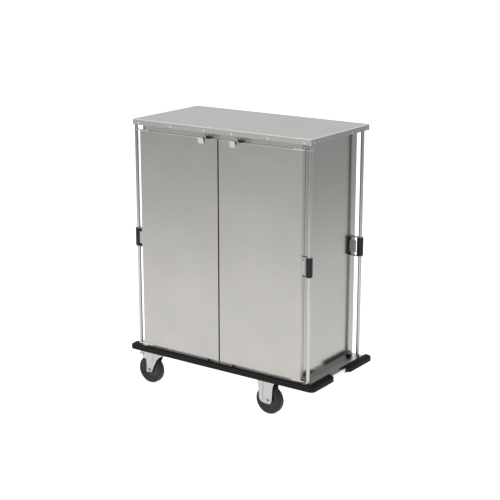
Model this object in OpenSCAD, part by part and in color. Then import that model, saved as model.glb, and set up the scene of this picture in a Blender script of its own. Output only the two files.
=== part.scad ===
// Closed two-door housekeeping cart on four casters.
// Millimetres, X along the cart (right positive), Y towards the back, Z up.
// The origin is on the floor under the middle of the base.

/* [Overall] */
// Height from the floor to the top of the cover
total_h = 1544; // [1530:1:1600]
// Length of the base over the bumpers
base_l = 1250; // [1236:1:1280]
// Width of the base over the bumpers
base_w = 632; // [628:1:650]
// Height of the bumper's underside above the floor
base_z = 204; // [203:1:206]

/* [Cover] */
// Length of the top cover
cover_l = 1162; // [1162:1:1190]
// Width of the top cover
cover_w = 590; // [586:1:600]
// Height of the cover's folded edge
cover_edge = 31; // [25:1:34]
// Sheet thickness of the cover, walls and doors
sheet_t = 1.5; // [1:0.1:2]
// Radius of a rivet head
rivet_r = 4.5; // [3:0.1:6]

/* [Cabinet] */
// Outside length of the cabinet
cab_l = 1064; // [1050:1:1070]
// Middle of the bumper's opening across the cart
cab_y = -8; // [-8:1:-7]
// Front edge of the cabinet walls
cab_front = -266; // [-266:1:-262]
// Outside face of the back panel
cab_back = 248; // [244:1:256]
// Thickness of the side walls and of the frame members
wall_t = 20; // [16:1:24]
// Height between one shelf and the next
shelf_pitch = 305; // [270:1:312]
// Thickness of a shelf
shelf_t = 22; // [15:1:30]

/* [Doors] */
// Thickness of a door
door_t = 24; // [20:0.5:26]
// Gap between the two doors
door_gap = 8; // [4:1:12]
// Bottom edge of the doors
door_z0 = 246; // [246:1:252]
// Top edge of the doors
door_z1 = 1484; // [1476:1:1484]
// Width of a pull tab
tab_w = 36; // [25:1:45]
// Height of a pull tab
tab_h = 35; // [25:1:40]
// Middle of the left pull tab
tab_left_x = -109; // [-130:1:-104]
// Middle of the right pull tab
tab_right_x = 98; // [70:1:104]

/* [Corner rods] */
// Outside diameter of a rod
rod_d = 20; // [16:0.5:20]
// Wall of a rod
rod_wall = 1.5; // [1:0.1:2]
// Distance between the rods along the cart
rod_span_x = 1138; // [1130:1:1138]
// Y place of the front rods, which carry the doors
rod_front_y = -277; // [-277:1:-275]
// Y place of the rear rods
rod_rear_y = 243; // [236:1:246]
// Radial clearance of a hinge plate on its rod
hinge_clear = 0.05; // [0.02:0.01:0.1]
// Height of the middle of the brackets half way up the rods
bracket_z = 873; // [800:1:950]
// Height of the black sleeve
sleeve_h = 104; // [80:1:120]
// Radius of the black sleeve
sleeve_r = 18; // [16:0.5:18]

/* [Turn buttons] */
// Height of the pivots
button_z = 1492; // [1492:0.5:1495]
// X place of the left pivot
button_left_x = -75; // [-82:1:-60]
// X place of the right pivot
button_right_x = 133; // [126:1:145]
// Length from the pivot to the tip
button_l = 44; // [35:1:50]

/* [Bumper] */
// Height of the rubber profile
bumper_h = 28; // [27:1:30]
// Thickness of its outer wall
bumper_t = 20; // [18:1:20]
// Length of the opening inside its upper lip
lip_l = 1161; // [1161:1:1170]
// Width of the opening inside its upper lip
lip_w = 562; // [560:1:566]
// Y place where the front piece ends at its inner edge
bumper_front_end = -76; // [-100:1:-60]
// Y place where the front piece ends on the left end of the cart
bumper_left_end = -250; // [-262:1:-100]
// Y place where the rear piece starts at its inner edge
bumper_rear_end = 20; // [10:1:60]
// How far the slanting end of the front piece runs back at its outer edge
bumper_front_cut = 29; // [0:1:40]
// How far the slanting end of the rear piece runs back at its outer edge
bumper_rear_cut = 55; // [0:1:60]

/* [Casters] */
// Wheel diameter
wheel_d = 160; // [150:1:160]
// Width of the tyre
tyre_w = 46; // [40:1:48]
// Height from the floor to the top of the caster plates
caster_h = 205; // [203:0.5:207]
// Y distance of the wheels from the middle
wheel_y = 248; // [245:1:248]
// X place of the swivel axes at the left end
swivel_x = -469; // [-480:1:-460]
// X place of the fixed wheels at the right end
fixed_x = 309; // [300:1:400]
// Distance from the swivel axis back to the axle
trail = 50; // [40:1:55]
// Axle radius
axle_r = 8; // [6:0.5:10]

/* [Hidden] */
$fn = 64;

// Colours
steel = [0.74, 0.74, 0.72];
steel_side = [0.62, 0.62, 0.60];
black_rubber = [0.10, 0.10, 0.10];
tyre_grey = [0.20, 0.22, 0.23];

// The cover rests on the walls with its underside at this height
cover_in = total_h - sheet_t;
// Tray that carries the cabinet, held in the slot of the bumper
tray_z1 = base_z + 24;
tray_rim_z0 = base_z + 6;
tray_t = 2;
tray_l = base_l - 2 * bumper_t;
tray_w = base_w - 2 * bumper_t;
bumper_corner = 28;
bumper_low_lip = 24;
bumper_chamfer = 6;
// Cabinet limits
cab_x0 = -cab_l / 2;
cab_x1 = cab_l / 2;
floor_z1 = door_z0;
in_x0 = cab_x0 + wall_t;
in_x1 = cab_x1 - wall_t;
rail_z0 = door_z1 - 20;
roof_z = total_h - 24;
// Shelves, evenly spaced between the floor and the rail
shelf_count = 3;
support_w = 18;
// Doors
door_back = cab_front - 2;
door_front = door_back - door_t;
// Rods
rod_x0 = -rod_span_x / 2;
rod_x1 = rod_span_x / 2;
rod_r = rod_d / 2;
rod_bore = rod_r + hinge_clear;
hinge_t = 3;
foot_t = 14;
eye_r = 15;
// Casters
axle_z = wheel_d / 2;
hub_half = 25;
fork_gap = 27;
fork_t = 4;
fork_top = 190;
plate_t = 4;
race_gap = 0.5;
kingpin_r = 6;
// Pin of the brake pedal, measured from the swivel axis
pedal_x = -trail - 36;
pedal_z = fork_top - 15;
pedal_r = 4;
running = 0.05;

// ---- helpers ----

// A box between two corners
module block(a, b) translate(a) cube(b - a);

// A flat rectangle with round corners, centred on the origin
module round_rect(l, w, r) {
    square([l - 2 * r, w], center = true);
    square([l, w - 2 * r], center = true);
    for (sx = [-1, 1], sy = [-1, 1]) translate([sx * (l / 2 - r), sy * (w / 2 - r)]) circle(r);
}

// A tray of sheet, open at the bottom
module pan_down(a, b, t) {
    difference() {
        block(a, b);
        block(a + [t, t, -1], b - [t, t, t]);
    }
}

// Turns a flat outline drawn in X and Z into a plate that is t thick, starting at y
module plate_xz(y, t) translate([0, y + t, 0]) rotate([90, 0, 0]) linear_extrude(t) children();

// A tube or hub along Y, centred on y, at x and z
module along_y(x, y, z, len) translate([x, y + len / 2, z]) rotate([90, 0, 0]) children();

// ---- base ----

module base_tray() color(steel) translate([0, 0, tray_rim_z0]) difference() {
    linear_extrude(tray_z1 - tray_rim_z0) round_rect(tray_l, tray_w, bumper_corner - bumper_t);
    translate([0, 0, -tray_t]) linear_extrude(tray_z1 - tray_rim_z0)
        round_rect(tray_l - 2 * tray_t, tray_w - 2 * tray_t, bumper_corner - bumper_t - tray_t);
}

// Two closed channels under the tray carry the caster plates
module cross_channels() color(steel) {
    half = 62;
    len = tray_w / 2 - 12;
    for (x = [swivel_x, fixed_x]) difference() {
        block([x - half, -len, caster_h], [x + half, len, tray_z1 - tray_t]);
        block([x - half + 3, -len - 1, caster_h + 3], [x + half - 3, len + 1, tray_z1 - tray_t - 3]);
    }
}

// A closed band round the rim, from the distance d inside the outline to the distance d + w
module rim_band(d, w) difference() {
    round_rect(base_l - 2 * d, base_w - 2 * d, bumper_corner - d);
    round_rect(base_l - 2 * (d + w), base_w - 2 * (d + w), bumper_corner - d - w);
}

// What the chamfer takes off along a straight or a round edge, with the edge at the origin
module chamfer_off() {
    c = bumper_chamfer;
    polygon([[-c, 0], [0, -c], [1, -c], [1, 1], [-c, 1]]);
}

// Chamfer along the upper outer edge: four straight stretches and four round corners
module rim_chamfer() {
    r = bumper_corner;
    for (turn = [0, 180]) rotate([0, 0, turn]) {
        translate([r - base_l / 2, -base_w / 2, 0]) rotate([90, 0, 90])
            linear_extrude(base_l - 2 * r) mirror([1, 0]) chamfer_off();
        translate([base_l / 2, base_w / 2 - r, 0]) rotate([90, 0, 0])
            linear_extrude(base_w - 2 * r) chamfer_off();
        for (s = [0, 1]) translate([base_l / 2 - r, (2 * s - 1) * (base_w / 2 - r), 0])
            rotate([0, 0, 90 * s - 90]) rotate_extrude(angle = 90) translate([r, 0]) chamfer_off();
    }
}

// Rubber profile round the rim: a thick outer wall, a wide upper lip and a short lower lip, with
// two grooves along its top and one along its face
module bumper_ring() difference() {
    slot_z0 = tray_rim_z0;
    top = base_z + bumper_h;
    union() {
        translate([0, 0, base_z]) linear_extrude(bumper_h) rim_band(0, bumper_t);
        translate([0, 0, tray_z1]) linear_extrude(top - tray_z1) difference() {
            round_rect(base_l - 2, base_w - 2, bumper_corner - 1);
            translate([0, cab_y]) square([lip_l, lip_w], center = true);
        }
        translate([0, 0, base_z]) linear_extrude(slot_z0 - base_z) difference() {
            round_rect(base_l - 2, base_w - 2, bumper_corner - 1);
            square([base_l - 2 * bumper_low_lip, base_w - 2 * bumper_low_lip], center = true);
        }
    }
    for (d = [8, 16]) translate([0, 0, top - 2]) linear_extrude(3) rim_band(d, 2.5);
    translate([0, 0, top]) rim_chamfer();
    translate([0, 0, base_z + 12]) linear_extrude(3) difference() {
        square([base_l + 2, base_w + 2], center = true);
        round_rect(base_l - 3, base_w - 3, bumper_corner - 1.5);
    }
}

// U-shaped front piece: its right end slants back towards the outer edge
module bumper_front() color(black_rubber) intersection() {
    x = base_l / 2;
    inner = lip_l / 2;
    y = bumper_front_end;
    c = bumper_front_cut;
    bumper_ring();
    linear_extrude(total_h)
        polygon([[-x - 1, -base_w], [x + 1, -base_w], [x + 1, y - c - 1], [x - 5, y - c + 4], [inner, y],
                 [-inner, y], [-inner, bumper_left_end], [-x - 1, bumper_left_end]]);
}

// End pieces round the two rear corners, which leave the tray's rear edge bare
module bumper_rear() color(black_rubber) intersection() {
    x = base_l / 2;
    inner = lip_l / 2;
    y = bumper_rear_end;
    c = bumper_rear_cut;
    bumper_ring();
    for (s = [0, 1]) mirror([s, 0, 0]) linear_extrude(total_h)
        polygon([[inner, y], [x - 5, y + c - 4], [x + 1, y + c + 1], [x + 1, base_w], [inner, base_w]]);
}

// ---- cabinet ----

module cabinet_floor() color(steel)
    pan_down([in_x0, cab_front, tray_z1], [in_x1, cab_back - sheet_t - 18, floor_z1], sheet_t);

// A folded wall: outer skin with a return at the front and at the back, open to the inside
module side_wall(x_out, side) {
    depth = wall_t - sheet_t;
    x_in = x_out - side * depth;
    difference() {
        block([min(x_out, x_in), cab_front, tray_z1], [max(x_out, x_in), cab_back, cover_in]);
        block([min(x_out - side * sheet_t, x_in - side), cab_front + sheet_t, tray_z1 - 1],
              [max(x_out - side * sheet_t, x_in - side), cab_back - sheet_t, cover_in + 1]);
    }
}

module side_wall_left() color(steel_side) side_wall(cab_x0, -1);

module side_wall_right() color(steel_side) side_wall(cab_x1, 1);

module liner_left() color(steel)
    block([in_x0 - sheet_t, cab_front, tray_z1], [in_x0, cab_back, cover_in]);

module liner_right() color(steel)
    block([in_x1, cab_front, tray_z1], [in_x1 + sheet_t, cab_back, cover_in]);

// Back sheet with a return on all four sides
module back_panel() color(steel_side) difference() {
    block([in_x0, cab_back - 18, tray_z1], [in_x1, cab_back, cover_in]);
    block([in_x0 + sheet_t, cab_back - 19, tray_z1 + sheet_t],
          [in_x1 - sheet_t, cab_back - sheet_t, cover_in - sheet_t]);
}

// Closed rail above the doors
module top_rail() color(steel) difference() {
    block([in_x0, cab_front, rail_z0], [in_x1, cab_front + wall_t, cover_in]);
    block([in_x0 - 1, cab_front + sheet_t, rail_z0 + sheet_t],
          [in_x1 + 1, cab_front + wall_t - sheet_t, cover_in - sheet_t]);
}

module cabinet_roof() color(steel) difference() {
    a = [in_x0, cab_front + wall_t, roof_z];
    b = [in_x1, cab_back - 18, cover_in];
    block(a, b);
    block(a + [sheet_t, sheet_t, sheet_t], b + [-sheet_t, -sheet_t, 1]);
}

// Folded lid over the cabinet and the rods
module cover() color(steel) translate([0, 0, total_h - cover_edge]) difference() {
    linear_extrude(cover_edge) round_rect(cover_l, cover_w, 4);
    translate([0, 0, -sheet_t]) linear_extrude(cover_edge)
        round_rect(cover_l - 2 * sheet_t, cover_w - 2 * sheet_t, 2.5);
}

// A low dome whose flat side lies on the plane z = 0
module rivet_head() rotate_extrude() intersection() {
    translate([0, -rivet_r * 1.1]) circle(rivet_r * 1.5);
    square([rivet_r, rivet_r]);
}

module cover_rivets() color(steel) {
    z = total_h - cover_edge + 10;
    long_x = [91, 317, 541];
    end_y = [-261, -105, 115, 271];
    for (s = [-1, 1], x = long_x, f = [-1, 1])
        translate([s * x, f * cover_w / 2, z]) rotate([f > 0 ? -90 : 90, 0, 0]) rivet_head();
    for (y = end_y, f = [-1, 1])
        translate([f * cover_l / 2, y, z]) rotate([0, f * 90, 0]) rivet_head();
}

// ---- shelves ----

function shelf_z(i) = floor_z1 + i * shelf_pitch;

module shelf(i) color(steel)
    pan_down([in_x0, cab_front + 10, shelf_z(i) - shelf_t], [in_x1, cab_back - 20, shelf_z(i)], sheet_t);

module shelf_1() shelf(1);

module shelf_2() shelf(2);

module shelf_3() shelf(3);

// Angles on the liners, one pair under each shelf
module shelf_supports() color(steel) for (i = [1:shelf_count]) {
    z = shelf_z(i) - shelf_t;
    y0 = cab_front + 12;
    y1 = cab_back - 22;
    block([in_x0, y0, z - sheet_t], [in_x0 + support_w, y1, z]);
    block([in_x0, y0, z - support_w], [in_x0 + sheet_t, y1, z - sheet_t]);
    block([in_x1 - support_w, y0, z - sheet_t], [in_x1, y1, z]);
    block([in_x1 - sheet_t, y0, z - support_w], [in_x1, y1, z - sheet_t]);
}

// ---- corner rods and rear brackets ----

module rod(x, y) translate([x, y, tray_z1 + foot_t]) difference() {
    cylinder(r = rod_r, h = cover_in - tray_z1 - foot_t);
    translate([0, 0, -1]) cylinder(r = rod_r - rod_wall, h = cover_in - tray_z1 + 2);
}

module front_rods() color(steel) for (x = [rod_x0, rod_x1]) rod(x, rod_front_y);

module rear_rods() color(steel) for (x = [rod_x0, rod_x1]) rod(x, rod_rear_y);

// A socket under each rod, with a spigot inside the rod
module rod_feet() color(steel) for (x = [rod_x0, rod_x1], y = [rod_front_y, rod_rear_y])
    translate([x, y, tray_z1]) {
        cylinder(r = rod_r + 1, h = foot_t);
        cylinder(r = rod_r - rod_wall, h = foot_t + 26);
    }

// A bracket with two eyes and a web between y0 and y1, for a rod at the origin and a face at x = reach
module rod_bracket(reach, y0, y1) {
    half = sleeve_h / 2;
    for (z = [-half - hinge_t, half]) translate([0, 0, z]) linear_extrude(hinge_t) difference() {
        union() {
            circle(eye_r);
            translate([0, y0]) square([reach, y1 - y0]);
        }
        circle(rod_bore);
    }
    block([reach - hinge_t, y0, -half], [reach, y1, half]);
    block([sleeve_r, y0, -34], [reach - hinge_t, y0 + hinge_t, 34]);
}

// Moulded sleeve on a rod
module rod_sleeve() difference() {
    union() {
        translate([0, 0, -sleeve_h / 2 + 3]) cylinder(r = sleeve_r, h = sleeve_h - 6);
        translate([0, 0, sleeve_h / 2 - 3]) cylinder(r1 = sleeve_r, r2 = sleeve_r - 3, h = 3);
        translate([0, 0, -sleeve_h / 2]) cylinder(r1 = sleeve_r - 3, r2 = sleeve_r, h = 3);
    }
    translate([0, 0, -sleeve_h]) cylinder(r = rod_bore, h = 2 * sleeve_h);
}

module rear_brackets() color(steel) {
    translate([rod_x0, rod_rear_y, bracket_z]) rod_bracket(cab_x0 - rod_x0, -16, 4);
    translate([rod_x1, rod_rear_y, bracket_z]) mirror([1, 0, 0]) rod_bracket(rod_x1 - cab_x1, -16, 4);
}

module rear_sleeves() color(black_rubber) for (x = [rod_x0, rod_x1])
    translate([x, rod_rear_y, bracket_z]) rod_sleeve();

// ---- small rubber and steel pieces of the door opening ----

// Rubber stops on the tray behind the bottom edge of each door
module door_buffers() color(black_rubber) for (x = [-84, 84])
    translate([x, cab_front - 12, tray_z1]) cylinder(r = 5, h = door_z0 - tray_z1 - 1);

// Rubber stops on the outside of the walls, at the back
module wall_buffers() color(black_rubber) for (s = [-1, 1])
    translate([s < 0 ? cab_x0 : cab_x1, cab_back - 41, tray_z1 + 12]) rotate([0, s * 90, 0]) {
        cylinder(r = 11.5, h = 9);
        translate([0, 0, 9]) cylinder(r1 = 11.5, r2 = 8, h = 5);
    }

// Shouldered screws that carry the turn buttons
module button_screws() color(steel) for (x = [button_left_x, button_right_x]) {
    along_y(x, (cab_front + door_front - 1) / 2, button_z, cab_front - door_front + 1)
        cylinder(r = 6, h = cab_front - door_front + 1);
    along_y(x, door_front - 6.5, button_z, 11) cylinder(r = 3, h = 11);
    along_y(x, door_front - 11.25, button_z, 2.5) cylinder(r = 5.5, h = 2.5);
}

// ---- doors ----

// The left door is drawn, and the right one is its mirror image
door_w = (cab_l - door_gap) / 2;
hinge_off = cab_x0 - rod_x0;

module mirrored() mirror([1, 0, 0]) children();

module door_skin() color(steel) difference() {
    block([cab_x0, door_front, door_z0], [cab_x0 + door_w, door_back - sheet_t, door_z1]);
    block([cab_x0 + sheet_t, door_front + sheet_t, door_z0 + sheet_t],
          [cab_x0 + door_w - sheet_t, door_back, door_z1 - sheet_t]);
}

module door_liner() color(steel_side)
    block([cab_x0, door_back - sheet_t, door_z0], [cab_x0 + door_w, door_back, door_z1]);

// Finger tab: welded at its foot, standing off the door at its top
module pull_tab(x) color(steel) translate([x - tab_w / 2, door_front, door_z1 + 4]) rotate([90, 0, 90])
    linear_extrude(tab_w) polygon([[0, -tab_h], [0, -tab_h + 7], [-7, 0], [-9.5, 0], [-2.2, -tab_h]]);

// Eye plate on the door's top or bottom edge
module hinge_eye(z) translate([rod_x0, rod_front_y, z]) linear_extrude(hinge_t) difference() {
    union() {
        circle(eye_r);
        translate([0, door_front + 1 - rod_front_y]) square([hinge_off + 60, door_t - 2]);
    }
    circle(rod_bore);
}

// The lower eye plate has a web that runs out to the rod in a curve
module hinge_top() color(steel) hinge_eye(door_z1);

module hinge_bottom() color(steel) difference() {
    hinge_eye(door_z0 - hinge_t);
    translate([rod_x0 + hinge_off / 2 + 3, door_front - 24, door_z0 - 10]) cylinder(r = 28, h = 20);
}

module hinge_bracket() color(steel) translate([rod_x0, rod_front_y, bracket_z])
    rod_bracket(hinge_off, door_front + 1 - rod_front_y, door_back - 1 - rod_front_y);

module hinge_sleeve() color(black_rubber) translate([rod_x0, rod_front_y, bracket_z]) rod_sleeve();

module door_skin_left() door_skin();

module door_liner_left() door_liner();

module pull_tab_left() pull_tab(tab_left_x);

module hinge_top_left() hinge_top();

module hinge_bottom_left() hinge_bottom();

module hinge_bracket_left() hinge_bracket();

module hinge_sleeve_left() hinge_sleeve();

module door_skin_right() mirrored() door_skin();

module door_liner_right() mirrored() door_liner();

module pull_tab_right() pull_tab(tab_right_x);

module hinge_top_right() mirrored() hinge_top();

module hinge_bottom_right() mirrored() hinge_bottom();

module hinge_bracket_right() mirrored() hinge_bracket();

module hinge_sleeve_right() mirrored() hinge_sleeve();

// ---- turn buttons ----

// A round boss with a tapering arm, in front of the door's face
module turn_button(x) color(black_rubber) translate([x, door_front - 2, button_z]) rotate([90, 0, 0])
    difference() {
        union() {
            cylinder(r = 7.5, h = 7.5);
            translate([button_l, 2.5, 0]) cylinder(r = 3.5, h = 7.5);
            linear_extrude(7.5) polygon([[4, -6.2], [4, 6.2], [button_l, 5.8], [button_l, -0.8]]);
        }
        translate([0, 0, -1]) cylinder(r = 3 + running, h = 10);
    }

module turn_button_left() turn_button(button_left_x);

module turn_button_right() turn_button(button_right_x);

// ---- casters ----

// Top plate, race and kingpin of a swivel caster
module swivel_plate() {
    z = caster_h - plate_t;
    block([-68, -42, z], [68, 42, caster_h]);
    translate([0, 0, fork_top + race_gap]) cylinder(r = 42, h = z - fork_top - race_gap);
    translate([0, 0, fork_top - 12]) cylinder(r = kingpin_r, h = 20);
    translate([0, 0, fork_top - 12]) cylinder(r = 11, h = 12 - fork_t - race_gap);
}

module swivel_plates() color(steel) for (s = [-1, 1]) translate([swivel_x, s * wheel_y, 0]) swivel_plate();

// Side outline of a swivel fork, measured from the swivel axis
module swivel_leg() translate([-trail, 0]) difference() {
    polygon([[-13, axle_z - 5], [-9, axle_z - 11], [14, axle_z - 11], [22, axle_z - 6], [27, axle_z + 2],
             [41, axle_z + 33], [61, axle_z + 72], [82, axle_z + 92], [111, fork_top - 4], [111, fork_top],
             [-60, fork_top], [-59, fork_top - 8], [-39, axle_z + 69], [-15, axle_z + 64]]);
    translate([0, axle_z]) circle(axle_r);
    translate([pedal_x + trail, pedal_z]) circle(pedal_r + running);
}

module swivel_fork() difference() {
    union() {
        for (y = [fork_gap, -fork_gap - fork_t]) plate_xz(y, fork_t) swivel_leg();
        for (y = [fork_gap + fork_t, -fork_gap - fork_t - 2]) plate_xz(y, 2) translate([-trail, 0])
            polygon([[27, axle_z + 62], [33, axle_z + 62], [36, fork_top], [24, fork_top]]);
        block([-trail - 60, -fork_gap, fork_top - 4], [111 - trail, fork_gap, fork_top]);
    }
    cylinder(r = kingpin_r + running, h = total_h);
}

module swivel_fork_front() color(steel) translate([swivel_x, -wheel_y, 0]) swivel_fork();

module swivel_fork_rear() color(steel) translate([swivel_x, wheel_y, 0]) swivel_fork();

// Bolt through both legs, with a head and a nut
module axle(x, y) along_y(x, y, axle_z, 2 * (fork_gap + fork_t + 7)) {
    len = 2 * (fork_gap + fork_t);
    translate([0, 0, 7]) cylinder(r = axle_r, h = len);
    cylinder(r = 10.5, h = 7);
    translate([0, 0, len + 7]) cylinder(r = 10.5, h = 7, $fn = 6);
}

module swivel_axle_front() color(steel) axle(swivel_x - trail, -wheel_y);

module swivel_axle_rear() color(steel) axle(swivel_x - trail, wheel_y);

module fixed_axles() color(steel) for (s = [-1, 1]) axle(fixed_x, s * wheel_y);

// Foot lever over the wheel, on a pin through both legs of the fork
module brake_pedal() {
    x = pedal_x;
    z = pedal_z;
    pin = 2 * (fork_gap + fork_t) + 2;
    along_y(x, 0, z, pin) cylinder(r = pedal_r, h = pin);
    plate_xz(-18, 36) polygon([[x - 2, z - 4], [x + 3, z], [x, z + 5], [x - 22, z + 3], [x - 37, z - 4],
                               [x - 39, z - 8], [x - 37, z - 12], [x - 17, z - 4]]);
}

module brake_pedal_front() color(black_rubber) translate([swivel_x, -wheel_y, 0]) brake_pedal();

module brake_pedal_rear() color(black_rubber) translate([swivel_x, wheel_y, 0]) brake_pedal();

// Side outline of a fixed fork, measured from the axle
module fixed_leg() difference() {
    polygon([[-38, axle_z - 11], [-51, axle_z + 6], [-53, axle_z + 48], [-62, fork_top - 4], [-62, fork_top],
             [45, fork_top], [45, fork_top - 3], [36, axle_z + 80], [31, axle_z + 10], [27, axle_z - 6],
             [17, axle_z - 17], [-18, axle_z - 16]]);
    translate([0, axle_z]) circle(axle_r);
}

module fixed_fork() {
    for (y = [fork_gap, -fork_gap - fork_t]) plate_xz(y, fork_t) fixed_leg();
    for (y = [fork_gap + fork_t, -fork_gap - fork_t - 2.5]) plate_xz(y, 2.5)
        polygon([[-36, axle_z - 2], [-27, axle_z - 2], [-24, fork_top], [-42, fork_top]]);
    block([-62, -fork_gap, fork_top - 4], [45, fork_gap, fork_top]);
    block([-68, -42, caster_h - plate_t], [68, 42, caster_h]);
    block([-57, -fork_gap, fork_top], [40, fork_gap, caster_h - plate_t]);
}

module fixed_fork_front() color(steel) translate([fixed_x, -wheel_y, 0]) fixed_fork();

module fixed_fork_rear() color(steel) translate([fixed_x, wheel_y, 0]) fixed_fork();

// Rubber tyre with rounded shoulders
module tyre() rotate_extrude($fn = 96) {
    r1 = wheel_d / 2;
    h = tyre_w / 2;
    rim = 52;
    polygon([[rim, -h + 4], [rim + 4, -h + 2], [r1 - 14, -h], [r1 - 8, -h + 1], [r1 - 4, -h + 3.5], [r1 - 1, -h + 7],
             [r1, -h + 11], [r1, h - 11], [r1 - 1, h - 7], [r1 - 4, h - 3.5], [r1 - 8, h - 1], [r1 - 14, h],
             [rim + 4, h - 2], [rim, h - 4]]);
}

// Moulded wheel centre with a dished web and a longer boss
module hub() rotate_extrude($fn = 96) {
    h = tyre_w / 2;
    rim = 52;
    bore = axle_r + running;
    polygon([[bore, -hub_half], [20, -hub_half], [22, -h + 9], [44, -h + 9], [47, -h + 4], [rim, -h + 4],
             [rim, h - 4], [47, h - 4], [44, h - 9], [22, h - 9], [20, hub_half], [bore, hub_half]]);
}

module wheel_place(x, y) translate([x, y, axle_z]) rotate([90, 0, 0]) children();

module tyre_left_front() color(tyre_grey) wheel_place(swivel_x - trail, -wheel_y) tyre();

module tyre_left_rear() color(tyre_grey) wheel_place(swivel_x - trail, wheel_y) tyre();

module tyre_right_front() color(tyre_grey) wheel_place(fixed_x, -wheel_y) tyre();

module tyre_right_rear() color(tyre_grey) wheel_place(fixed_x, wheel_y) tyre();

module hub_left_front() color(tyre_grey) wheel_place(swivel_x - trail, -wheel_y) hub();

module hub_left_rear() color(tyre_grey) wheel_place(swivel_x - trail, wheel_y) hub();

module hub_right_front() color(tyre_grey) wheel_place(fixed_x, -wheel_y) hub();

module hub_right_rear() color(tyre_grey) wheel_place(fixed_x, wheel_y) hub();

// ---- drawing ----

base_tray();
cross_channels();
bumper_front();
bumper_rear();
cabinet_floor();
side_wall_left();
side_wall_right();
liner_left();
liner_right();
back_panel();
top_rail();
cabinet_roof();
cover();
cover_rivets();
shelf_1();
shelf_2();
shelf_3();
shelf_supports();
front_rods();
rear_rods();
rod_feet();
rear_brackets();
rear_sleeves();
door_buffers();
wall_buffers();
button_screws();
door_skin_left();
door_liner_left();
pull_tab_left();
hinge_top_left();
hinge_bottom_left();
hinge_bracket_left();
hinge_sleeve_left();
door_skin_right();
door_liner_right();
pull_tab_right();
hinge_top_right();
hinge_bottom_right();
hinge_bracket_right();
hinge_sleeve_right();
turn_button_left();
turn_button_right();
swivel_plates();
swivel_fork_front();
swivel_fork_rear();
swivel_axle_front();
swivel_axle_rear();
brake_pedal_front();
brake_pedal_rear();
tyre_left_front();
tyre_left_rear();
hub_left_front();
hub_left_rear();
fixed_fork_front();
fixed_fork_rear();
fixed_axles();
tyre_right_front();
tyre_right_rear();
hub_right_front();
hub_right_rear();
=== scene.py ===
import bpy
import bmesh
import math
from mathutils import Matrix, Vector


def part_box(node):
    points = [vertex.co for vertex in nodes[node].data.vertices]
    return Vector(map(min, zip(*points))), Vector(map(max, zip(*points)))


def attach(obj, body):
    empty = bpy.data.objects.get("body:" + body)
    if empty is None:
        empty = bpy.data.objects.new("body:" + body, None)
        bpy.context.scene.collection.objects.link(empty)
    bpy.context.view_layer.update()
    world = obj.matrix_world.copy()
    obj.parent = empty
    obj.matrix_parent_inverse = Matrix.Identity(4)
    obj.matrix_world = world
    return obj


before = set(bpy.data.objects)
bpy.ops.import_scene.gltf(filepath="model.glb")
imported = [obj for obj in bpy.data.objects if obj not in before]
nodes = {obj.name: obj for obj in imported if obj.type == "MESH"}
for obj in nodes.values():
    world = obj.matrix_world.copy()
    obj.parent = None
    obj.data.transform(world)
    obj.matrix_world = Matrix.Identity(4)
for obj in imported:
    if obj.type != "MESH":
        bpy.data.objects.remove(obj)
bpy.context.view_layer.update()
scene = bpy.context.scene

MM = 0.001

# Camera: place in metres, angles in degrees, lens and sensor in millimetres
CAMERA_PLACE = (3.880748, -5.545797, 2.641455)
CAMERA_TILT = 15.075126
CAMERA_TURN = 34.963177
LENS = 90.2928
SENSOR = 36.0

# Level directions: from the camera into the picture, and to both sides of it
INTO = (-0.573, 0.8195, 0.0)
RIGHT = (0.8195, 0.573, 0.0)
LEFT = (-0.8195, -0.573, 0.0)
UP = (0.0, 0.0, 1.0)

# Studio: half the floor's side in metres, its shade of grey, and the point that both lights face
FLOOR_HALF = 60.0
FLOOR_SHADE = 0.80
AIM = (0.0, 0.0, 0.8)

# Softened edges: points closer than this are joined, and edges that turn less than this are left alone
WELD_DISTANCE = 0.01 * MM
SHARP_ANGLE = math.radians(40)

# Grain scales: brushed lines run along the axes that have the small numbers
LINES_LEVEL = (1.0, 1.0, 60.0)
LINES_UPRIGHT = (60.0, 60.0, 1.0)
LINES_ALONG_X = (1.0, 60.0, 60.0)
LINES_OF_ROD = (80.0, 80.0, 1.0)
NO_LINES = (20.0, 20.0, 20.0)

# Colour sockets of a Mix node, whose names repeat for each kind of data
MIX_COLOUR_A = 6
MIX_COLOUR_B = 7
MIX_COLOUR_OUT = 2


# ---------------------------------------------------------------- node helpers

def math_node(nt, operation, *values):
    """A Math node whose inputs are numbers or the outputs of other nodes."""
    node = nt.nodes.new("ShaderNodeMath")
    node.operation = operation
    for socket, value in zip(node.inputs, values):
        if isinstance(value, float):
            socket.default_value = value
        else:
            nt.links.new(value, socket)
    return node.outputs[0]


def dot(nt, point, direction):
    """How far a point lies along a direction."""
    node = nt.nodes.new("ShaderNodeVectorMath")
    node.operation = "DOT_PRODUCT"
    node.inputs[1].default_value = direction
    nt.links.new(point, node.inputs[0])
    return node.outputs["Value"]


def map_range(nt, value, source, target, curve="SMOOTHSTEP"):
    """Carries a value from the pair source to the pair target, and holds it level outside them."""
    node = nt.nodes.new("ShaderNodeMapRange")
    node.interpolation_type = curve
    node.inputs["From Min"].default_value, node.inputs["From Max"].default_value = source
    node.inputs["To Min"].default_value, node.inputs["To Max"].default_value = target
    nt.links.new(value, node.inputs["Value"])
    return node.outputs[0]


def noise(nt, vector, scale, detail):
    """Cloudy noise from 0 to 1 over a vector."""
    node = nt.nodes.new("ShaderNodeTexNoise")
    node.inputs["Scale"].default_value = scale
    node.inputs["Detail"].default_value = detail
    nt.links.new(vector, node.inputs["Vector"])
    return node.outputs["Fac"]


def ramp(nt, value, start, dark, end, light):
    """Colours a value from dark at start to light at end."""
    node = nt.nodes.new("ShaderNodeValToRGB")
    for stop, place, colour in zip(node.color_ramp.elements, (start, end), (dark, light)):
        stop.position = place
        stop.color = (*colour, 1)
    nt.links.new(value, node.inputs[0])
    return node.outputs[0]


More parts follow.
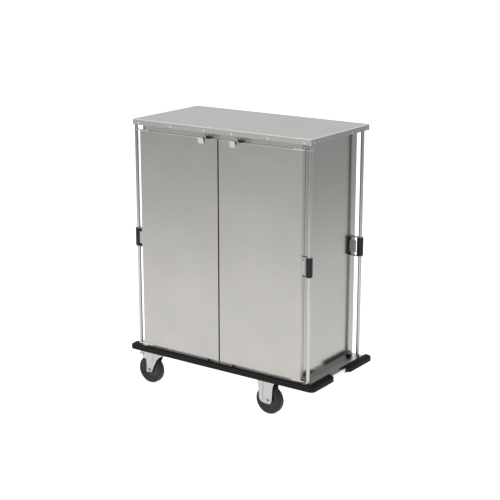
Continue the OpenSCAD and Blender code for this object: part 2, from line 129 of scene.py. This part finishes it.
def bump(nt, height, strength, distance):
    """A normal that is tilted by the slopes of a height."""
    node = nt.nodes.new("ShaderNodeBump")
    node.inputs["Strength"].default_value = strength
    node.inputs["Distance"].default_value = distance
    nt.links.new(height, node.inputs["Height"])
    return node.outputs[0]


def object_point(nt):
    """The place of a surface point in the object's own axes."""
    return nt.nodes.new("ShaderNodeTexCoord").outputs["Object"]


def principled(name):
    """A new material, with its node tree and its shader."""
    mat = bpy.data.materials.new(name)
    mat.use_nodes = True
    return mat, mat.node_tree, mat.node_tree.nodes["Principled BSDF"]


# ---------------------------------------------------------------- camera and studio

def make_camera():
    """The camera of the reference view, which looks down on the front and right side."""
    data = bpy.data.cameras.new("camera")
    data.sensor_width = SENSOR
    data.lens = LENS
    data.clip_start = 0.1
    data.clip_end = 100.0
    cam = bpy.data.objects.new("camera", data)
    scene.collection.objects.link(cam)
    cam.location = CAMERA_PLACE
    cam.rotation_euler = (math.radians(90.0 - CAMERA_TILT), 0.0, math.radians(CAMERA_TURN))
    scene.camera = cam


def make_world():
    """A bright backdrop behind the cart, a soft overhead, and dimmer walls on the other sides."""
    backdrop_edges, backdrop_light = (0.45, 0.92), (0.28, 0.72)
    overhead_edges, overhead_light = (0.35, 0.95), (0.0, 0.55)
    world = bpy.data.worlds.new("studio")
    scene.world = world
    world.use_nodes = True
    nt = world.node_tree
    nt.nodes.clear()
    out = nt.nodes.new("ShaderNodeOutputWorld")
    background = nt.nodes.new("ShaderNodeBackground")
    sky = nt.nodes.new("ShaderNodeTexCoord").outputs["Generated"]
    backdrop = map_range(nt, dot(nt, sky, INTO), backdrop_edges, backdrop_light)
    overhead = map_range(nt, dot(nt, sky, UP), overhead_edges, overhead_light)
    nt.links.new(math_node(nt, "ADD", backdrop, overhead), background.inputs["Strength"])
    background.inputs["Color"].default_value = (1.0, 1.0, 1.0, 1)
    nt.links.new(background.outputs[0], out.inputs[0])


def make_floor():
    """A pale floor that glows in a painted wedge of light, which opens into the picture and fades on both
    sides.
    """
    # The wedge starts this far before the origin, behind the camera, and is narrower on the right
    wedge_start = 8.5
    right_narrowing = 1.0
    side_slopes, side_light = (0.20, 0.75), (0.72, 0.05)
    start_depths, start_light = (1.0, 6.0), (0.0, 1.0)
    me = bpy.data.meshes.new("floor")
    s = FLOOR_HALF
    me.from_pydata([(-s, -s, 0), (s, -s, 0), (s, s, 0), (-s, s, 0)], [], [(0, 1, 2, 3)])
    floor = bpy.data.objects.new("floor", me)
    scene.collection.objects.link(floor)
    mat, nt, shader = principled("floor_white")
    shader.inputs["Base Color"].default_value = (FLOOR_SHADE, FLOOR_SHADE, FLOOR_SHADE, 1)
    shader.inputs["Roughness"].default_value = 0.9
    shader.inputs["Specular IOR Level"].default_value = 0.1
    point = object_point(nt)
    along = math_node(nt, "ADD", dot(nt, point, INTO), wedge_start)
    left = dot(nt, point, LEFT)
    right = math_node(nt, "ADD", dot(nt, point, RIGHT), right_narrowing)
    wide = math_node(nt, "MAXIMUM", left, right)
    deep = math_node(nt, "MAXIMUM", along, 1.0)
    slope = math_node(nt, "DIVIDE", wide, deep)
    beside = map_range(nt, slope, side_slopes, side_light)
    before = map_range(nt, along, start_depths, start_light)
    # Painted light: the wedge drives the floor's emission, so the floor glows though it is no lamp
    nt.links.new(math_node(nt, "MULTIPLY", beside, before), shader.inputs["Emission Strength"])
    shader.inputs["Emission Color"].default_value = (1, 1, 1, 1)
    me.materials.append(mat)


def area_light(name, place, size, power):
    """A rectangular light that faces the middle of the cart."""
    data = bpy.data.lights.new(name, "AREA")
    data.shape = "RECTANGLE"
    data.size, data.size_y = size
    data.energy = power
    light = bpy.data.objects.new(name, data)
    scene.collection.objects.link(light)
    light.location = place
    light.rotation_euler = (Vector(AIM) - Vector(place)).to_track_quat("-Z", "Y").to_euler()


# ---------------------------------------------------------------- materials

def brushed(name, light, dark, rough, grain, relief=0.02, metallic=1.0):
    """Steel with a fine directional grain, soft cloudy wear and small bumps."""
    rough_spread = 0.06
    mat, nt, shader = principled(name)
    point = object_point(nt)
    stretch = nt.nodes.new("ShaderNodeMapping")
    stretch.inputs["Scale"].default_value = grain
    nt.links.new(point, stretch.inputs[0])
    lines = noise(nt, stretch.outputs[0], 8.0, 6.0)
    clouds = noise(nt, point, 3.0, 3.0)
    tone = math_node(nt, "MULTIPLY", math_node(nt, "ADD", lines, clouds), 0.5)
    nt.links.new(ramp(nt, tone, 0.35, dark, 0.65, light), shader.inputs["Base Color"])
    roughness = map_range(nt, lines, (0.0, 1.0), (rough - rough_spread, rough + rough_spread), "LINEAR")
    nt.links.new(roughness, shader.inputs["Roughness"])
    nt.links.new(bump(nt, lines, relief, 1.0 * MM), shader.inputs["Normal"])
    shader.inputs["Metallic"].default_value = metallic
    return mat


def moulded(name, light, dark, rough, specular=0.30):
    """Rubber or plastic with a fine moulded texture and slight colour variation."""
    rough_spread = 0.08
    mat, nt, shader = principled(name)
    texture = noise(nt, object_point(nt), 60.0, 8.0)
    nt.links.new(ramp(nt, texture, 0.3, dark, 0.7, light), shader.inputs["Base Color"])
    roughness = map_range(nt, texture, (0.0, 1.0), (rough - rough_spread, rough + rough_spread), "LINEAR")
    nt.links.new(roughness, shader.inputs["Roughness"])
    nt.links.new(bump(nt, texture, 0.15, 0.5 * MM), shader.inputs["Normal"])
    shader.inputs["Specular IOR Level"].default_value = specular
    return mat


def rings(mat, node, pitch, depth):
    """Adds fine moulded rings round the axis of a wheel."""
    nt = mat.node_tree
    lo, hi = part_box(node)
    centre = [(low + high) / 2 for low, high in zip(lo, hi)]
    flatten = nt.nodes.new("ShaderNodeMapping")
    flatten.inputs["Location"].default_value = (-centre[0], 0.0, -centre[2])
    flatten.inputs["Scale"].default_value = (1.0, 0.0, 1.0)
    nt.links.new(object_point(nt), flatten.inputs[0])
    radius = nt.nodes.new("ShaderNodeVectorMath")
    radius.operation = "LENGTH"
    nt.links.new(flatten.outputs[0], radius.inputs[0])
    turn = math_node(nt, "MULTIPLY", radius.outputs["Value"], 2.0 * math.pi / pitch)
    waves = bump(nt, math_node(nt, "SINE", turn), 0.6, depth)
    texture_bump = nt.nodes["Principled BSDF"].inputs["Normal"].links[0].from_node
    nt.links.new(waves, texture_bump.inputs["Normal"])
    return mat


def near_face(nt, coordinate, extreme, margin):
    """1 within margin of the two faces of a box at plus and minus extreme."""
    distance = math_node(nt, "ABSOLUTE", coordinate)
    return math_node(nt, "GREATER_THAN", distance, extreme - margin)


def lid_painted_highlight_and_shade(mat, node, width, fold_highlight_colour, end_shade_colour):
    """Colours a folded lid with a painted highlight along its upper folds and painted shade on its two end
    flanges.
    """
    end_depth = 0.4 * MM
    nt = mat.node_tree
    base_colour = nt.nodes["Principled BSDF"].inputs["Base Color"]
    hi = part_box(node)[1]
    split = nt.nodes.new("ShaderNodeSeparateXYZ")
    nt.links.new(object_point(nt), split.inputs[0])
    near_x, near_y, near_z = (near_face(nt, split.outputs[i], hi[i], width) for i in range(3))
    # Painted highlight: a near-white band along the lid's upper folds
    fold_highlight = math_node(nt, "MULTIPLY", near_z, math_node(nt, "MAXIMUM", near_x, near_y))
    # Painted shade: a darker colour on the lid's two end flanges
    end = near_face(nt, split.outputs[0], hi[0], end_depth)
    colour = base_colour.links[0].from_socket
    for mask, tint in ((end, end_shade_colour), (fold_highlight, fold_highlight_colour)):
        mix = nt.nodes.new("ShaderNodeMix")
        mix.data_type = "RGBA"
        nt.links.new(mask, mix.inputs["Factor"])
        nt.links.new(colour, mix.inputs[MIX_COLOUR_A])
        mix.inputs[MIX_COLOUR_B].default_value = (*tint, 1)
        colour = mix.outputs[MIX_COLOUR_OUT]
    nt.links.new(colour, base_colour)


def tyre_rubber(node):
    """Dark grey rubber with rings round the tyre's own axis."""
    mat = moulded("rubber_" + node, (0.019, 0.022, 0.024), (0.013, 0.016, 0.018), 0.60)
    return rings(mat, node, 7 * MM, 0.4 * MM)


def hub_plastic(node):
    """Grey plastic with rings round the hub's own axis."""
    mat = moulded("plastic_" + node, (0.031, 0.038, 0.041), (0.024, 0.030, 0.032), 0.45)
    return rings(mat, node, 12 * MM, 0.3 * MM)


def finish_of(node):
    """The material of a CAD node."""
    if node.startswith("bumper") or node in ("door_buffers", "wall_buffers"):
        return rubber
    if "sleeve" in node or node.startswith(("turn_button", "brake_pedal")):
        return plastic
    if node.startswith("tyre"):
        return tyre_rubber(node)
    if node.startswith("hub"):
        return hub_plastic(node)
    if node in ("front_rods", "rear_rods"):
        return steel_rod
    if node.startswith("pull_tab") or node == "button_screws":
        return steel_tab
    if node == "rod_feet" or node.startswith(("hinge_top", "hinge_bottom")):
        return steel_bright
    if node.startswith(("liner_", "shelf_")) or node in ("back_panel", "cabinet_floor", "cabinet_roof"):
        return steel_inner
    if "fork" in node or "axle" in node or node == "swivel_plates":
        return steel_zinc
    if node in ("side_wall_left", "side_wall_right"):
        return steel_side
    return single_finishes.get(node, steel_door)


# ---------------------------------------------------------------- shapes

def soften(width, *names):
    """Joins each CAD mesh along its shared edges and rounds its sharp ones, by modifiers only."""
    for name in names:
        modifiers = nodes[name].modifiers
        modifiers.new("weld", "WELD").merge_threshold = WELD_DISTANCE
        bevel = modifiers.new("soft_edges", "BEVEL")
        bevel.width = width
        bevel.segments = 2
        bevel.limit_method = "ANGLE"
        bevel.angle_limit = SHARP_ANGLE


def tab_shade_filler(side):
    """Black piece of painted shade that fills the wedge between a leaning pull tab and its door, where
    there is only shadow.
    """
    # The painted shade piece is shifted to the right of the tab, so its right end stands out beyond the
    # steel
    gap = 7 * MM
    foot = 9 * MM
    inset = 0.2 * MM
    shift = 1 * MM
    edge = 0.4 * MM
    name = "tab_shade_filler_" + side
    lo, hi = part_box("pull_tab_" + side)
    back = hi[1] - inset
    top = hi[2] - inset
    outline = [(back, lo[2] + foot), (back - gap + 2 * inset, top), (back, top)]
    ends = (lo[0] + shift, hi[0] + shift)
    me = bpy.data.meshes.new(name)
    me.from_pydata([(x, y, z) for x in ends for y, z in outline], [],
                   [(0, 1, 2), (5, 4, 3), (0, 3, 4, 1), (1, 4, 5, 2), (2, 5, 3, 0)])
    bm = bmesh.new()
    bm.from_mesh(me)
    bmesh.ops.recalc_face_normals(bm, faces=bm.faces)
    bmesh.ops.bevel(bm, geom=bm.edges[:], offset=edge, segments=2, affect="EDGES")
    bm.to_mesh(me)
    bm.free()
    shade_filler = bpy.data.objects.new(name, me)
    scene.collection.objects.link(shade_filler)
    # Painted shade: the filler takes the black plastic finish
    me.materials.append(plastic)
    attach(shade_filler, "door_" + side)


# ---------------------------------------------------------------- the scene

make_camera()
make_world()
make_floor()
area_light("key", (-2.5, -4.5, 4.5), (4.0, 3.0), 160)
area_light("fill", (5.5, -1.0, 3.0), (3.0, 3.0), 60)
scene.view_settings.view_transform = "Standard"

steel_door = brushed("steel_door", (0.455, 0.443, 0.421), (0.397, 0.386, 0.368), 0.36, LINES_LEVEL)
# Side walls: the cabinet steel with a darker base that stands in for the dimmer light on that side:
# painted shade
steel_side = brushed("steel_side", (0.392, 0.387, 0.374), (0.365, 0.361, 0.348), 0.17, LINES_UPRIGHT, 0.01)
steel_cover = brushed("steel_cover", (0.60, 0.59, 0.57), (0.56, 0.55, 0.53), 0.30, LINES_ALONG_X)
# Base tray: brightened so its reflection lifts the shade at the foot of the side walls: painted light
steel_tray = brushed("steel_tray", (0.80, 0.79, 0.77), (0.74, 0.73, 0.71), 0.42, LINES_ALONG_X)
steel_rod = brushed("steel_rod", (0.45, 0.45, 0.44), (0.40, 0.40, 0.39), 0.15, LINES_OF_ROD)
steel_zinc = brushed("steel_zinc", (0.47, 0.465, 0.455), (0.41, 0.405, 0.395), 0.34, NO_LINES)
steel_bright = brushed("steel_bright", (0.82, 0.82, 0.81), (0.74, 0.74, 0.73), 0.20, NO_LINES)
# Top rail: satin steel with a base brightened to cancel the shade of its recess under the cover flange:
# painted light
steel_satin_painted_light = brushed("steel_satin_painted_light", (0.66, 0.645, 0.615), (0.61, 0.596, 0.57), 0.55, LINES_ALONG_X)
steel_rivet = brushed("steel_rivet", (0.68, 0.68, 0.67), (0.60, 0.60, 0.59), 0.30, NO_LINES)
steel_tab = brushed("steel_tab", (0.50, 0.50, 0.49), (0.44, 0.44, 0.43), 0.38, LINES_ALONG_X)
steel_inner = brushed("steel_inner", (0.66, 0.65, 0.63), (0.61, 0.60, 0.58), 0.45, LINES_UPRIGHT,
                      metallic=0.6)
rubber = moulded("rubber_black", (0.011, 0.011, 0.012), (0.007, 0.007, 0.008), 0.62, specular=0.16)
plastic = moulded("plastic_black", (0.011, 0.011, 0.012), (0.007, 0.007, 0.008), 0.42)
# Painted highlight on the cover's upper folds and painted shade on its end flanges
lid_painted_highlight_and_shade(steel_cover, "cover", 3.5 * MM, (1.0, 1.0, 0.99), (0.385, 0.38, 0.367))

single_finishes = {"cover": steel_cover, "base_tray": steel_tray, "top_rail": steel_satin_painted_light,
                   "cover_rivets": steel_rivet}
for name in nodes:
    slots = nodes[name].data.materials
    slots.clear()
    slots.append(finish_of(name))

soften(1.2 * MM, "cover", "door_skin_left", "door_skin_right", "side_wall_left", "side_wall_right",
       "base_tray")
soften(3.0 * MM, "bumper_front", "bumper_rear")
soften(1.0 * MM, "swivel_fork_front", "swivel_fork_rear", "fixed_fork_front", "fixed_fork_rear",
       "turn_button_left", "turn_button_right", "brake_pedal_front", "brake_pedal_rear")
soften(0.6 * MM, "hinge_bracket_left", "hinge_bracket_right", "rear_brackets", "pull_tab_left",
       "pull_tab_right")

# Painted shade: black fillers in the wedges behind both pull tabs
for side in ("left", "right"):
    tab_shade_filler(side)
